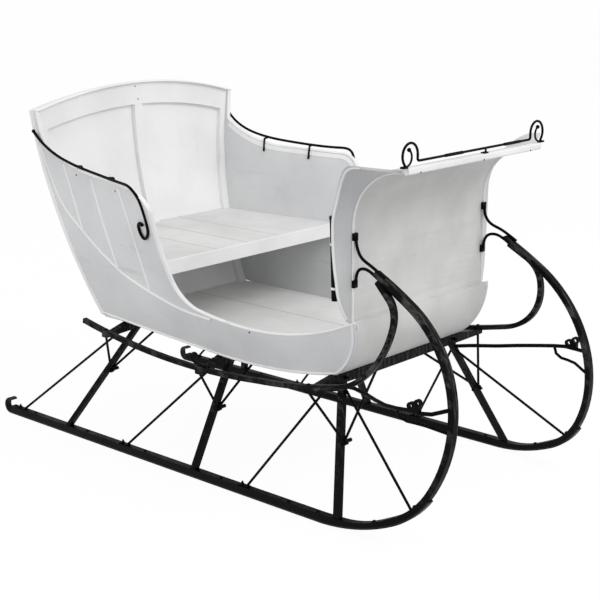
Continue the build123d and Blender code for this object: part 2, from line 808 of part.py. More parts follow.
with BuildPart() as dash:
    with BuildSketch(Plane.XZ):
        add(dash_profile(dash_x, dash_thick, dash_low, lip_length))
    extrude(amount=dash_half, both=True)
dash.part.label = "dash_board"
export_step(dash.part, "parts/dash_board.step")

lip_x = dash_x + dash_curl + lip_length
lip_low = curl_low + dash_curl - 4
lip_top = lip_low + lip_size[1]
with BuildPart() as lip:
    with BuildSketch(Plane.XZ):
        with Locations((lip_x + lip_size[0] / 2, (lip_low + lip_top) / 2)):
            RectangleRounded(lip_size[0], lip_size[1], lip_round)
        with Locations((lip_x + lip_size[0] / 4, (lip_low + lip_top) / 2)):
            Rectangle(lip_size[0] / 2, lip_size[1])
    extrude(amount=dash_half + 2, both=True)
lip.part.label = "dash_lip"
export_step(lip.part, "parts/dash_lip.step")

for side, sign in sides:
    with BuildPart() as wing:
        rake = Vector(wing_rake[0], sign * wing_rake[1], wing_rake[2])
        with BuildSketch(Plane.XZ.offset(-sign * (dash_half + fit_gap))):
            add(dash_profile(dash_x, wing_thick, wing_low - 40, 2))
        extrude(amount=rake.length * 1.2, dir=rake.normalized())
        with BuildSketch(Plane.YZ):
            with BuildLine():
                heel = (sign * (dash_half + 8), wing_low)
                lower = ThreePointArc(heel, (sign * 389, 684), (sign * 406, 766))
                side_edge = ThreePointArc(lower @ 1, (sign * 417, 870), (sign * 418, 990))
                upper = ThreePointArc(side_edge @ 1, (sign * 434, 1085), (sign * wing_reach, 1158))
                tip = Line(upper @ 1, (sign * wing_reach, lip_top + 100))
                crown = Line(tip @ 1, (sign * (dash_half - 50), lip_top + 100))
                Line(crown @ 1, (sign * (dash_half - 50), wing_low))
                Line((sign * (dash_half - 50), wing_low), heel)
            make_face()
        extrude(amount=1400, both=True, mode=Mode.INTERSECT)
    wing.part.label = f"dash_wing_{side}"
    made["wing", side] = wing.part
    export_step(wing.part, f"parts/dash_wing_{side}.step")

# Arm rails, just outside the outer faces of the sides
arm_radius = 5
arm_stand = arm_radius + 1.5    # centre of the rail outside the side's face
arm_path = [            # x, z
    (-769, 1131),
    (-694, 1073),
    (-581, 1037),
    (-397, 1017),
    (-215, 1010),
    (-168, 1003),
    (-143, 975),
    (-135, 935),
    (-136, 885),
    (-150, 836),
    (-180, 820),
    (-194, 845),
    (-183, 873),
    (-163, 872),
]
arm_knob = 6.2
arm_feet = [(-537, 1028), (-327, 1014)]
arm_foot_radius = 4
foot_drop = 52          # the foot reaches this far down the inner face
for side, sign in sides:
    with BuildPart() as arm:
        with BuildLine() as spine:
            Spline(*[(x, sign * (side_half(x, z) + arm_stand), z) for x, z in arm_path])
        with BuildSketch(Plane(origin=spine.line @ 0, z_dir=spine.line % 0)):
            Circle(arm_radius)
        sweep(path=spine.line)
        for x, z in (arm_path[0], arm_path[-1]):
            with Locations((x, sign * (side_half(x, z) + arm_stand), z)):
                Sphere(arm_knob)
        for x, z in arm_feet:
            inside = panel_thick + arm_foot_radius + 2 * fit_gap
            with BuildLine() as bracket:
                Polyline(
                    (x, sign * (side_half(x, z) + arm_stand), z),
                    (x + 4, sign * (side_half(x + 4, z) - inside), z - 3),
                    (x + 8, sign * (side_half(x + 8, z - foot_drop) - inside), z - foot_drop),
                )
            with BuildSketch(Plane(origin=bracket.line @ 0, z_dir=bracket.line % 0)):
                Circle(arm_foot_radius)
            sweep(path=bracket.line, transition=Transition.ROUND)
        add(made["side_rear", side], mode=Mode.SUBTRACT)
    arm.part.label = f"arm_rail_{side}"
    export_step(arm.part, f"parts/arm_rail_{side}.step")

# Rein rail over the dash, with a loop and a small curl at each end
rein_radius = 4
rein_x = lip_x + lip_size[0] / 2
rein_z = 1164
rein_corner = 8         # bend where the rail turns up into the loop
loop_radius = 37
loop_half = 344         # middle of each end loop
loop_z = 1184
loop_turn = 222         # degrees the loop bends over before it drops
foot_bend = 8
curl_ball = 6.5
curl_radius_in = 3.2
sleeves = [(-122, 90), (200, 90)]       # middle and length of each thicker stretch
stud_y = 50             # middle stud, set off the centre
stud_radius = 3.4
with BuildPart() as rein:
    with BuildLine(Plane.YZ.offset(rein_x)) as spine:
        rail = Line((0, rein_z), (loop_half - loop_radius - rein_corner, rein_z))
        corner = JernArc(rail @ 1, rail % 1, rein_corner, 90)
        riser = Line(corner @ 1, (loop_half - loop_radius, loop_z))
        loop = JernArc(riser @ 1, (0, 1), loop_radius, -loop_turn)
        heel = JernArc(loop @ 1, loop % 1, foot_bend, loop_turn - 180)
        foot = Line(heel @ 1, ((heel @ 1).Y, lip_top))
    foot_half = (foot @ 1).Y
    with BuildSketch(Plane(origin=spine.line @ 0, z_dir=(0, 1, 0))):
        Circle(rein_radius)
    sweep(path=spine.line)
    with BuildLine(Plane.YZ.offset(rein_x)) as curl:
        ThreePointArc((foot_half, lip_top + 6), (336, 1178), (350, 1201))
    with BuildSketch(Plane(origin=curl.line @ 0, z_dir=curl.line % 0)):
        Circle(curl_radius_in)
    sweep(path=curl.line)
    with Locations(curl.line @ 1):
        Sphere(curl_ball)
    with Locations((rein_x, foot_half + 3, lip_top + 3)):
        Box(14, 22, 6)
    mirror(about=Plane.XZ)
    for middle, length in sleeves:
        with Locations(Location((rein_x, middle, rein_z), (90, 0, 0))):
            Cylinder(radius=rein_radius + 1.2, height=length)
    with Locations((rein_x, stud_y, (lip_top + rein_z) / 2)):
        Cylinder(radius=stud_radius, height=rein_z - lip_top)
    with Locations((rein_x, stud_y - 5, lip_top + 2)):
        Box(14, 24, 4)
rein.part.label = "rein_rail"
export_step(rein.part, "parts/rein_rail.step")

# Whip socket behind the right wing
whip_top = (567, -394, 976)
whip_low = (567, -386, 707)
whip_bore = 9.5
whip_depth = 240
whip_radii = (11, 13)           # outside, at the foot and at the mouth
whip_clips = (747, 889)         # heights of the two clips that hold it to the wing
clip_size = (15, 12, 16)
with BuildPart() as whip:
    base = Vector(*whip_low)
    axis = Vector(*whip_top) - base
    with BuildSketch(Plane(origin=base, z_dir=axis)):
        Circle(whip_radii[0])
    with BuildSketch(Plane(origin=base + axis, z_dir=axis)):
        Circle(whip_radii[1])
    loft()
    for clip_z in whip_clips:
        middle = base + axis * ((clip_z - base.Z) / axis.Z)
        with Locations((middle.X + 7 + clip_size[0] / 2, middle.Y, clip_z)):
            Box(*clip_size)
    add(made["wing", "right"], mode=Mode.SUBTRACT)
    with BuildSketch(Plane(origin=base + axis, z_dir=axis)):
        Circle(whip_bore)
    extrude(amount=-whip_depth, mode=Mode.SUBTRACT)
whip.part.label = "whip_socket"
export_step(whip.part, "parts/whip_socket.step")
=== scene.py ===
import math

import bmesh
import bpy
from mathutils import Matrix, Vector
from mathutils.bvhtree import BVHTree


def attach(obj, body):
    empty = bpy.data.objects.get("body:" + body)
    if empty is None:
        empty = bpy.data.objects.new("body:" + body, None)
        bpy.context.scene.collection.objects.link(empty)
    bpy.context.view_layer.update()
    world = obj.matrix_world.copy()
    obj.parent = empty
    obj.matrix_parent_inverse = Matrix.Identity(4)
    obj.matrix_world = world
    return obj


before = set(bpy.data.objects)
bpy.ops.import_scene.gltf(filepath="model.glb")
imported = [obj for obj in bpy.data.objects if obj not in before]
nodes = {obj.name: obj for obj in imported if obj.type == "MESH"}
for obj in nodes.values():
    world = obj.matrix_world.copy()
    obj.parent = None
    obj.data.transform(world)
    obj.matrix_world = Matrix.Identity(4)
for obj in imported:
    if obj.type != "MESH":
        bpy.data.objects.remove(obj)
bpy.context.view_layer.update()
sides = [("right", -1), ("left", 1)]
print("frame loaded,", len(nodes), "solid pieces")


# Helpers for colour and shader nodes
def linear(hexColour):
    channels = []
    for start in (0, 2, 4):
        value = int(hexColour[start:start + 2], 16) / 255
        channels.append(value / 12.92 if value <= 0.04045 else ((value + 0.055) / 1.055) ** 2.4)
    return (*channels, 1.0)


def addNode(tree, kind, settings=None, links=None):
    node = tree.nodes.new("ShaderNode" + kind)
    for key, value in (settings or {}).items():
        if isinstance(key, str) and hasattr(node, key):
            setattr(node, key, value)
        else:
            node.inputs[key].default_value = value
    for key, socket in (links or {}).items():
        tree.links.new(socket, node.inputs[key])
    return node


def startMaterial(name):
    material = bpy.data.materials.new(name)
    material.use_nodes = True
    tree = material.node_tree
    tree.nodes.clear()
    output = addNode(tree, "OutputMaterial")
    place = addNode(tree, "TexCoord")
    return material, tree, output, place.outputs["Object"]


def perMetre(millimetres):
    return 1000 / millimetres  # noise scale that gives features of that size


def noise(tree, place, millimetres, detail=4.0, rough=0.55):
    settings = {"Scale": perMetre(millimetres), "Detail": detail, "Roughness": rough}
    return addNode(tree, "TexNoise", settings, {"Vector": place}).outputs["Fac"]


def remap(tree, value, low, high, toLow=0.0, toHigh=1.0):
    settings = {"From Min": low, "From Max": high, "To Min": toLow, "To Max": toHigh}
    return addNode(tree, "MapRange", settings, {"Value": value}).outputs["Result"]


def larger(tree, a, b):
    return addNode(tree, "Math", {"operation": "MAXIMUM"}, {0: a, 1: b}).outputs["Value"]


def mixColour(tree, share, a, b):
    # a and b are colours or sockets
    node = addNode(tree, "Mix", {"data_type": "RGBA"}, {0: share})
    for slot, colour in ((6, a), (7, b)):
        if isinstance(colour, str):
            node.inputs[slot].default_value = linear(colour)
        else:
            tree.links.new(colour, node.inputs[slot])
    return node.outputs[2]


def softEdges(tree, millimetres):
    # light catches the edges as if they were eased with sandpaper
    return addNode(tree, "Bevel", {"samples": 3, "Radius": millimetres / 1000}).outputs["Normal"]


def bump(tree, height, strength, distance, normal):
    settings = {"Strength": strength, "Distance": distance}
    return addNode(tree, "Bump", settings, {"Height": height, "Normal": normal}).outputs["Normal"]


def lineAt(tree, axisSocket, places, halfWidth):
    # 1 on narrow lines at the given places along an axis, in metres
    found = None
    for where in places:
        offset = addNode(tree, "Math", {"operation": "SUBTRACT", 1: where}, {0: axisSocket})
        away = addNode(tree, "Math", {"operation": "ABSOLUTE"}, {0: offset.outputs["Value"]})
        line = remap(tree, away.outputs["Value"], halfWidth * 0.4, halfWidth, 1.0, 0.0)
        found = line if found is None else larger(tree, found, line)
    return found


# Paints: tones in hex, streak, ripple and edge sizes in millimetres,
# seams at places across the boards in metres
paintLook = {
    "body": {
        "light": "DDDEDF", "dark": "D1D2D4", "dirt": "8F8E8B", "rough": 0.46, "streak": 1.2,
        "along": (0.06, 1, 1), "ripple": 260, "rippleStrength": 0.10, "seams": [], "edge": 2.0,
    },
    "back": {
        "light": "F4F4F4", "dark": "EBEBEB", "dirt": "A4A19D", "rough": 0.46, "streak": 1.2,
        "along": (1, 1, 0.06), "ripple": 200, "rippleStrength": 0.10, "seams": [], "edge": 1.5,
    },
    "dash": {
        "light": "DCDCDB", "dark": "CDCDCC", "dirt": "8C8A86", "rough": 0.36, "streak": 1.6,
        "along": (1, 0.05, 1), "ripple": 46, "rippleStrength": 0.50, "seams": [], "edge": 1.5,
    },
    "trim": {
        "light": "F6F6F6", "dark": "EBEBEB", "dirt": "A9A6A1", "rough": 0.42, "streak": 1.0,
        "along": (1, 1, 0.08), "ripple": 0, "rippleStrength": 0.0, "seams": [], "edge": 1.5,
    },
    "wing": {
        "light": "D4D5D6", "dark": "C5C6C8", "dirt": "85837F", "rough": 0.46, "streak": 1.2,
        "along": (1, 1, 0.06), "ripple": 160, "rippleStrength": 0.12, "seams": [], "edge": 2.0,
    },
    "toe": {
        "light": "DCDCDB", "dark": "CDCDCC", "dirt": "827F7A", "rough": 0.46, "streak": 1.4,
        "along": (1, 0.05, 1), "ripple": 180, "rippleStrength": 0.12, "seams": [], "edge": 2.0,
    },
    "lip": {
        "light": "F4F4F4", "dark": "EAEAEA", "dirt": "A9A6A1", "rough": 0.40, "streak": 1.0,
        "along": (1, 0.08, 1), "ripple": 0, "rippleStrength": 0.0, "seams": [], "edge": 6.0,
    },
    "seat": {
        "light": "E4E4E3", "dark": "D6D6D5", "dirt": "8E8A85", "rough": 0.5, "streak": 1.4,
        "along": (0.05, 1, 1), "ripple": 0, "rippleStrength": 0.0,
        "seams": [-0.189, -0.030, 0.136], "edge": 2.0,
    },
    "floor": {
        "light": "F5F5F4", "dark": "E8E8E7", "dirt": "7E7A75", "rough": 0.55, "streak": 1.4,
        "along": (0.05, 1, 1), "ripple": 0, "rippleStrength": 0.0, "seams": [-0.200, 0.100], "edge": 2.0,
    },
}
seamLook = {"half": 0.0022, "tone": "6A6865", "share": 0.62}


def brushedCoachPaint(name, look):
    # linseed coach paint brushed over thin boards: soft sheen, faint brush lines,
    # pinholes, and grey where hands and boots rub
    material, tree, output, place = startMaterial(name)
    along = addNode(tree, "Mapping", {"Scale": look["along"]}, {"Vector": place}).outputs["Vector"]
    tone = mixColour(tree, remap(tree, noise(tree, place, 240), 0.34, 0.62), look["dark"], look["light"])
    streak = noise(tree, along, look["streak"] * 4, 5.0, 0.6)
    tone = mixColour(tree, remap(tree, streak, 0.50, 0.72, 0.0, 0.22), tone, look["dark"])
    specks = remap(tree, noise(tree, place, 9, 6.0, 0.72), 0.70, 0.78, 0.0, 0.45)
    rubs = remap(tree, noise(tree, along, 70, 8.0, 0.7), 0.62, 0.80, 0.0, 0.40)
    wearAndHighlight = larger(tree, specks, rubs)
    colour = mixColour(tree, wearAndHighlight, tone, look["dirt"])
    normal = bump(tree, streak, 0.20, 0.0005, softEdges(tree, look["edge"]))
    if look["seams"]:
        across = addNode(tree, "SeparateXYZ", None, {"Vector": place}).outputs["Y"]
        seam = lineAt(tree, across, look["seams"], seamLook["half"])
        seamShare = remap(tree, seam, 0.0, 1.0, 0.0, seamLook["share"])
        colour = mixColour(tree, seamShare, colour, seamLook["tone"])
        normal = bump(tree, remap(tree, seam, 0.0, 1.0, 1.0, 0.0), 0.8, 0.0015, normal)
    if look["ripple"]:
        waves = noise(tree, along, look["ripple"], 2.0, 0.45)
        normal = bump(tree, waves, look["rippleStrength"], 0.012, normal)
    rough = remap(tree, streak, 0.3, 0.7, look["rough"] - 0.06, look["rough"] + 0.12)
    links = {"Base Color": colour, "Roughness": rough, "Normal": normal}
    shader = addNode(tree, "BsdfPrincipled", {"IOR": 1.45}, links)
    tree.links.new(shader.outputs["BSDF"], output.inputs["Surface"])
    return material


# Blacks: grain and edge sizes in millimetres; the gear's grain is greyed as a painted highlight, in place of
# the
# gloss reflection on the high bends: how far, in what tone, and from one height in metres to another
blackLook = {
    "gear": {
        "deep": "010101", "lift": "050505", "rub": "3A322B", "rough": 0.38, "grain": 2.2,
        "along": (0.12, 1, 0.12), "rubFrom": 0.69, "edge": 2.2,
        # grain greyed on the high bends: a painted highlight
        "wearAndHighlight": 0.75, "highlightTone": "5A5957", "highlightFrom": 0.08, "highlightTo": 0.60, "specular": 0.08,
    },
    "iron": {
        "deep": "010101", "lift": "050505", "rub": "38302A", "rough": 0.46, "grain": 0.9,
        "along": (1, 1, 1), "rubFrom": 0.70, "edge": 0.8, "wearAndHighlight": 0.0, "specular": 0.08,
    },
}


def blackGearPaint(name, look):
    # japan black over bent ash or forged iron: grain or scale shows through,
    # brown where the paint has chipped off
    material, tree, output, place = startMaterial(name)
    along = addNode(tree, "Mapping", {"Scale": look["along"]}, {"Vector": place}).outputs["Vector"]
    grain = noise(tree, along, look["grain"] * 4, 6.0, 0.65)
    cloud = noise(tree, place, 60, 5.0, 0.6)
    tone = mixColour(tree, cloud, look["deep"], look["lift"])
    chips = remap(tree, noise(tree, place, 22, 9.0, 0.75), look["rubFrom"], look["rubFrom"] + 0.06)
    colour = mixColour(tree, chips, tone, look["rub"])
    if look["wearAndHighlight"]:
        # painted highlight: the grain is greyed on the high bends, in place of the gloss reflection there,
        # and the low wood is left black
        height = addNode(tree, "SeparateXYZ", None, {"Vector": place}).outputs["Z"]
        raised = remap(tree, height, look["highlightFrom"], look["highlightTo"])
        highlitGrain = remap(tree, grain, 0.50, 0.66, 0.0, look["wearAndHighlight"])
        highlightStreaks = addNode(tree, "Math", {"operation": "MULTIPLY"}, {0: highlitGrain, 1: raised})
        colour = mixColour(tree, highlightStreaks.outputs["Value"], colour, look["highlightTone"])
    rough = remap(tree, cloud, 0.25, 0.75, look["rough"] - 0.08, look["rough"] + 0.18)
    normal = bump(tree, grain, 0.30, 0.0006, softEdges(tree, look["edge"]))
    settings = {"IOR": 1.45, "Specular IOR Level": look["specular"]}
    links = {"Base Color": colour, "Roughness": rough, "Normal": normal}
    shader = addNode(tree, "BsdfPrincipled", settings, links)
    tree.links.new(shader.outputs["BSDF"], output.inputs["Surface"])
    return material


# Steel: scratch, rust patch and edge sizes in millimetres
steelLook = {
    "dark": "080707", "light": "161413", "rust": "33261E", "metal": 0.6, "smooth": 0.38, "dull": 0.62,
    "along": (0.03, 1, 1), "scratch": 3, "rustPatch": 34, "edge": 0.8,
}


def roadWornSteel(name, look):
    # rolled mild steel shoe: dark mill scale, drawn scratches along the run, dull shine
    material, tree, output, place = startMaterial(name)
    along = addNode(tree, "Mapping", {"Scale": look["along"]}, {"Vector": place}).outputs["Vector"]
    drawn = noise(tree, along, look["scratch"], 6.0, 0.7)
    colour = mixColour(tree, drawn, look["dark"], look["light"])
    rust = remap(tree, noise(tree, place, look["rustPatch"], 8.0, 0.7), 0.60, 0.74, 0.0, 0.6)
    colour = mixColour(tree, rust, colour, look["rust"])
    rough = remap(tree, drawn, 0.0, 1.0, look["smooth"], look["dull"])
    normal = bump(tree, drawn, 0.25, 0.0004, softEdges(tree, look["edge"]))
    links = {"Base Color": colour, "Roughness": rough, "Normal": normal}
    shader = addNode(tree, "BsdfPrincipled", {"Metallic": look["metal"]}, links)
    tree.links.new(shader.outputs["BSDF"], output.inputs["Surface"])
    return material


bodyPaint = brushedCoachPaint("bodyPaint", paintLook["body"])
backPaint = brushedCoachPaint("backPaint", paintLook["back"])
dashPaint = brushedCoachPaint("dashPaint", paintLook["dash"])
trimPaint = brushedCoachPaint("trimPaint", paintLook["trim"])
wingPaint = brushedCoachPaint("wingPaint", paintLook["wing"])
toePaint = brushedCoachPaint("toePaint", paintLook["toe"])
lipPaint = brushedCoachPaint("lipPaint", paintLook["lip"])
seatPaint = brushedCoachPaint("seatPaint", paintLook["seat"])
floorPaint = brushedCoachPaint("floorPaint", paintLook["floor"])
gearPaint = blackGearPaint("gearPaint", blackLook["gear"])
ironPaint = blackGearPaint("ironPaint", blackLook["iron"])
shoeSteel = roadWornSteel("shoeSteel", steelLook)

# Finish of each solid, by how its name starts; the rest are painted iron
finishes = {
    "side_": bodyPaint, "back_panel": backPaint, "toe_board": toePaint, "dash_wing": wingPaint,
    "dash_board": dashPaint, "dash_lip": lipPaint,
    "back_frame": backPaint, "seat_apron": trimPaint, "seat_cleat": trimPaint, "door_strip": trimPaint,
    "seat_board": seatPaint, "floor_": floorPaint,
    "runner": gearPaint, "rave": gearPaint, "beam": gearPaint, "post": gearPaint,
    "shoe": shoeSteel,
}
for nodeName, solid in nodes.items():
    finish = ironPaint
    for start, material in finishes.items():
        if nodeName.startswith(start):
            finish = material
    for index in range(len(solid.data.materials)):
        solid.material_slots[index].material = finish
    if not len(solid.data.materials):
        solid.data.materials.append(finish)
print("paint mixed and laid on the solids")


# Helpers for making pieces
def finishPiece(name, verts, faces, material, smooth=True):
    mesh = bpy.data.meshes.new(name)
    mesh.from_pydata([tuple(v) for v in verts], [], faces)
    mesh.update()
    tidy = bmesh.new()
    tidy.from_mesh(mesh)
    bmesh.ops.recalc_face_normals(tidy, faces=tidy.faces)
    tidy.to_mesh(mesh)
    tidy.free()
    for polygon in mesh.polygons:
        polygon.use_smooth = smooth
    piece = bpy.data.objects.new(name, mesh)
    bpy.context.scene.collection.objects.link(piece)
    piece.data.materials.append(material)
    if smooth:
        mesh.set_sharp_from_angle(angle=math.radians(40))
    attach(piece, "root")
    return piece


def smoothPath(points, steps=8):
    # a rounded line through the points
    pts = [Vector(p) for p in points]
    pts = [pts[0] * 2 - pts[1]] + pts + [pts[-1] * 2 - pts[-2]]
    line = []
    for i in range(1, len(pts) - 2):
        a, b, c, d = pts[i - 1:i + 3]
        for k in range(steps):
            t = k / steps
            curve = (2 * a - 5 * b + 4 * c - d) * t * t + (3 * b - a - 3 * c + d) * t ** 3
            line.append(0.5 * (2 * b + (c - a) * t + curve))
    line.append(pts[-2])
    return line


def halfRound(width, height, sink=0.0006, steps=8):
    # half-round section, flat side a hair under the surface
    angles = [math.pi * k / steps for k in range(steps + 1)]
    arc = [(-width / 2 * math.cos(angle), height * math.sin(angle)) for angle in angles]
    return [(-width / 2, -sink)] + arc + [(width / 2, -sink)]


def flatStrip(width, height, sink=0.0006, ease=0.0012):
    # flat strip with eased corners
    half = width / 2
    left = [(-half, -sink), (-half, height - ease), (-half + ease, height)]
    return left + [(-u, v) for u, v in reversed(left)]


def roundBar(radius, steps=12):
    angles = [2 * math.pi * k / steps for k in range(steps)]
    return [(radius * math.cos(angle), radius * math.sin(angle)) for angle in angles]


def sweepSection(path, ups, section, verts, faces):
    # lays a closed section along a path; ups say which way the section's top faces
    first = len(verts)
    count = len(section)
    for i, point in enumerate(path):
        ahead = path[min(i + 1, len(path) - 1)] - path[max(i - 1, 0)]
        ahead.normalize()
        up = ups[i] if isinstance(ups, list) else ups
        across = ahead.cross(up).normalized()
        top = across.cross(ahead).normalized()
        for u, v in section:
            verts.append(point + across * u + top * v)
    for i in range(len(path) - 1):
        for k in range(count):
            a = first + i * count + k
            b = first + i * count + (k + 1) % count
            faces.append((a, b, b + count, a + count))
    faces.append(tuple(first + k for k in range(count)))
    faces.append(tuple(first + (len(path) - 1) * count + k for k in range(count)))


def turnedShape(origin, axis, profile, verts, faces, segments=20):
    # profile of (radius, height) turned about an axis
    axis = Vector(axis).normalized()
    side = axis.orthogonal().normalized()
    other = axis.cross(side)
    first = len(verts)
    for radius, height in profile:
        for k in range(segments):
            angle = 2 * math.pi * k / segments
            outward = side * math.cos(angle) + other * math.sin(angle)
            verts.append(Vector(origin) + axis * height + outward * radius)
    for i in range(len(profile) - 1):
        for k in range(segments):
            a = first + i * segments + k
            b = first + i * segments + (k + 1) % segments
            faces.append((a, b, b + segments, a + segments))
    faces.append(tuple(first + k for k in range(segments)))
    faces.append(tuple(first + (len(profile) - 1) * segments + k for k in range(segments)))


def domeHead(radius, height, rows=5):
    # carriage bolt head, its rim a hair under the surface
    angles = [math.pi / 2 * k / rows for k in range(rows + 1)]
    dome = [(radius * math.cos(angle) + 0.0001, height * math.sin(angle)) for angle in angles]
    return [(radius, -0.0008)] + dome


def hexNut(origin, axis, across, height, verts, faces, shank=0.0035, reach=0.006):
    # washer, six-sided nut and the bolt's end
    washer = [(across * 0.72, -0.0006), (across * 0.72, 0.0010), (across * 0.55, 0.0012)]
    turnedShape(origin, axis, washer, verts, faces, 18)
    top = Vector(origin) + Vector(axis).normalized() * 0.0011
    nut = [(across * 0.577, 0.0), (across * 0.577, height - 0.0008), (across * 0.50, height)]
    turnedShape(top, axis, nut, verts, faces, 6)
    boltEnd = [(shank, height - 0.0002), (shank, height + reach - 0.0008), (shank - 0.0009, height + reach)]
    turnedShape(top, axis, boltEnd, verts, faces, 12)


def arcThrough(a, b, c, steps=12):
    # points on the circle through three points (x, z)
    ax, az, bx, bz, cx, cz = *a, *b, *c
    d = 2 * (ax * (bz - cz) + bx * (cz - az) + cx * (az - bz))
    aa, bb, cc = ax ** 2 + az ** 2, bx ** 2 + bz ** 2, cx ** 2 + cz ** 2
    ux = (aa * (bz - cz) + bb * (cz - az) + cc * (az - bz)) / d
    uz = (aa * (cx - bx) + bb * (ax - cx) + cc * (bx - ax)) / d
    radius = math.hypot(ax - ux, az - uz)
    start, mid, end = (math.atan2(z - uz, x - ux) for x, z in (a, b, c))
    while mid - start > math.pi:
        mid -= 2 * math.pi
    while mid - start < -math.pi:
        mid += 2 * math.pi
    while end - mid > math.pi:
        end -= 2 * math.pi
    while end - mid < -math.pi:
        end += 2 * math.pi
    angles = [start + (end - start) * k / steps for k in range(steps + 1)]
    return [(ux + radius * math.cos(angle), uz + radius * math.sin(angle)) for angle in angles]


# Shapes of the solids, for pieces that lie on them
def shapeOf(*names):
    verts, faces = [], []
    for name in names:
        solid = nodes[name]
        first = len(verts)
        verts += [solid.matrix_world @ v.co for v in solid.data.vertices]
        faces += [[first + i for i in polygon.vertices] for polygon in solid.data.polygons]
    return BVHTree.FromPolygons(verts, faces)


sideShape = {side: shapeOf(f"side_rear_{side}", f"side_fore_{side}") for side, sign in sides}


def onSide(x, z, side, sign, inner=False):
    # point and outward normal on a side board's outer or inner face
    start = Vector((x, 0 if inner else sign * 0.9, z))
    heading = Vector((0, sign if inner else -sign, 0))
    point, normal, index, distance = sideShape[side].ray_cast(start, heading)
    if point is None:
        # past the board's outline: the face goes on level with its nearest point
        near = Vector((x, sign * (0.34 if inner else 0.56), z))
        point, normal, index, distance = sideShape[side].find_nearest(near)
        point = Vector((x, point.y, z))
        normal = Vector((0, -sign if inner else sign, 0))
    if normal.dot(heading) > 0:
        normal = -normal
    return point, normal


def alongSide(line, side, sign, section, verts, faces, inner=False):
    # lays a section on the side's face along (x, z) points
    laid = [onSide(x, z, side, sign, inner) for x, z in line]
    sweepSection([point for point, normal in laid], [normal for point, normal in laid], section, verts, faces)


# White edging over the top of the sides, and a strip inside below it
edging = {
    "width": 0.0165, "height": 0.0045, "sink": 0.0018, "aim": 0.002, "boardThick": 0.014,
    "innerWidth": 0.018, "innerHeight": 0.0022, "innerDrop": 0.011,
}
topEdge = [(-0.7690, 1.2050), (-0.7485, 1.2050), (-0.7360, 1.0900)]
topEdge += arcThrough((-0.736, 1.090), (-0.600, 1.026), (-0.440, 1.000), 16)[1:]
topEdge += [(-0.322, 0.9952), (-0.205, 0.990)]
topEdge += arcThrough((-0.205, 0.990), (-0.132, 0.967), (-0.106, 0.928), 12)[1:]
topEdge += arcThrough((-0.106, 0.928), (-0.118, 0.790), (-0.108, 0.668), 14)[1:]
topEdge += arcThrough((-0.108, 0.668), (-0.078, 0.612), (-0.022, 0.576), 12)[1:]
topEdge += arcThrough((-0.022, 0.576), (0.256, 0.543), (0.630, 0.640), 26)[1:]


def edgeNormals(line):
    # directions square to an (x, z) line, to its left
    found = []
    for i in range(len(line)):
        before, after = line[max(i - 1, 0)], line[min(i + 1, len(line) - 1)]
        found.append(Vector((before[1] - after[1], 0, after[0] - before[0])).normalized())
    return found


def shifted(line, distance):
    # an (x, z) line moved sideways, to its right
    return [(x - n.x * distance, z - n.z * distance) for (x, z), n in zip(line, edgeNormals(line))]


edgeUps = edgeNormals(topEdge)
for side, sign in sides:
    path = []
    for (x, z), up in zip(topEdge, edgeUps):
        face, normal = onSide(x - up.x * edging["aim"], z - up.z * edging["aim"], side, sign)
        path.append(face - normal * edging["boardThick"] / 2 + up * edging["sink"])
    verts, faces = [], []
    cap = halfRound(edging["width"], edging["height"], edging["sink"])
    sweepSection(path[1:], edgeUps[1:], cap, verts, faces)
    strip = flatStrip(edging["innerWidth"], edging["innerHeight"])
    alongSide(shifted(topEdge[3:], edging["innerDrop"]), side, sign, strip, verts, faces, True)
    finishPiece(f"sideEdging_{side}", verts, faces, trimPaint)
print("edging laid")

# Half-round mouldings on the outside of the sides, and the beads along their lower and rear edges
moulding = {
    "width": 0.0095, "height": 0.0052, "battenWidth": 0.0110, "battenHeight": 0.0040,
    "beadWidth": 0.0085, "beadHeight": 0.0040, "lowBeadInset": 0.0055, "rearBeadInset": 0.0060,
}
sweepLine = [
    (-0.7470, 1.0800), (-0.7320, 1.0080), (-0.7178, 0.9600), (-0.7050, 0.9200), (-0.6830, 0.8760),
    (-0.6460, 0.8320), (-0.5860, 0.7830), (-0.5240, 0.7350), (-0.4530, 0.6880), (-0.3830, 0.6490),
    (-0.3040, 0.6220), (-0.2300, 0.6010), (-0.1480, 0.5800), (-0.0780, 0.5660), (-0.0150, 0.5580),
    (0.0347, 0.5530),
]
battens = [
    [(-0.6240, 1.0240), (-0.6097, 0.9401), (-0.5980, 0.8780), (-0.5820, 0.7830)],
    [(-0.4590, 0.9920), (-0.4460, 0.8610), (-0.4270, 0.7560), (-0.4110, 0.6670)],
    [(-0.2770, 0.9860), (-0.2640, 0.8700), (-0.2550, 0.7350), (-0.2450, 0.6090)],
]
rearFoot, jointLow, toeStart = (-0.5582, 0.462), (-0.022, 0.420), (0.538, 0.446)
lowEdge = arcThrough(rearFoot, (-0.292, 0.441), jointLow, 24)
lowEdge += arcThrough(jointLow, (0.200, 0.408), toeStart, 24)[1:]
lowEdge += arcThrough(toeStart, (0.608, 0.523), (0.630, 0.640), 14)[1:]
rearEdge = arcThrough(rearFoot, (-0.7091, 0.800), (-0.770, 1.205), 30)
for side, sign in sides:
    verts, faces = [], []
    line = [(p.x, p.z) for p in smoothPath([(x, 0, z) for x, z in sweepLine], 6)]
    alongSide(line, side, sign, halfRound(moulding["width"], moulding["height"]), verts, faces)
    battenRound = halfRound(moulding["battenWidth"], moulding["battenHeight"])
    for batten in battens:
        line = [(p.x, p.z) for p in smoothPath([(x, 0, z) for x, z in batten], 8)]
        alongSide(line, side, sign, battenRound, verts, faces)
    bead = halfRound(moulding["beadWidth"], moulding["beadHeight"])
    alongSide(shifted(lowEdge, -moulding["lowBeadInset"]), side, sign, bead, verts, faces)
    alongSide(shifted(rearEdge, moulding["rearBeadInset"]), side, sign, bead, verts, faces)
    finishPiece(f"sideMoulding_{side}", verts, faces, trimPaint)
print("mouldings laid")

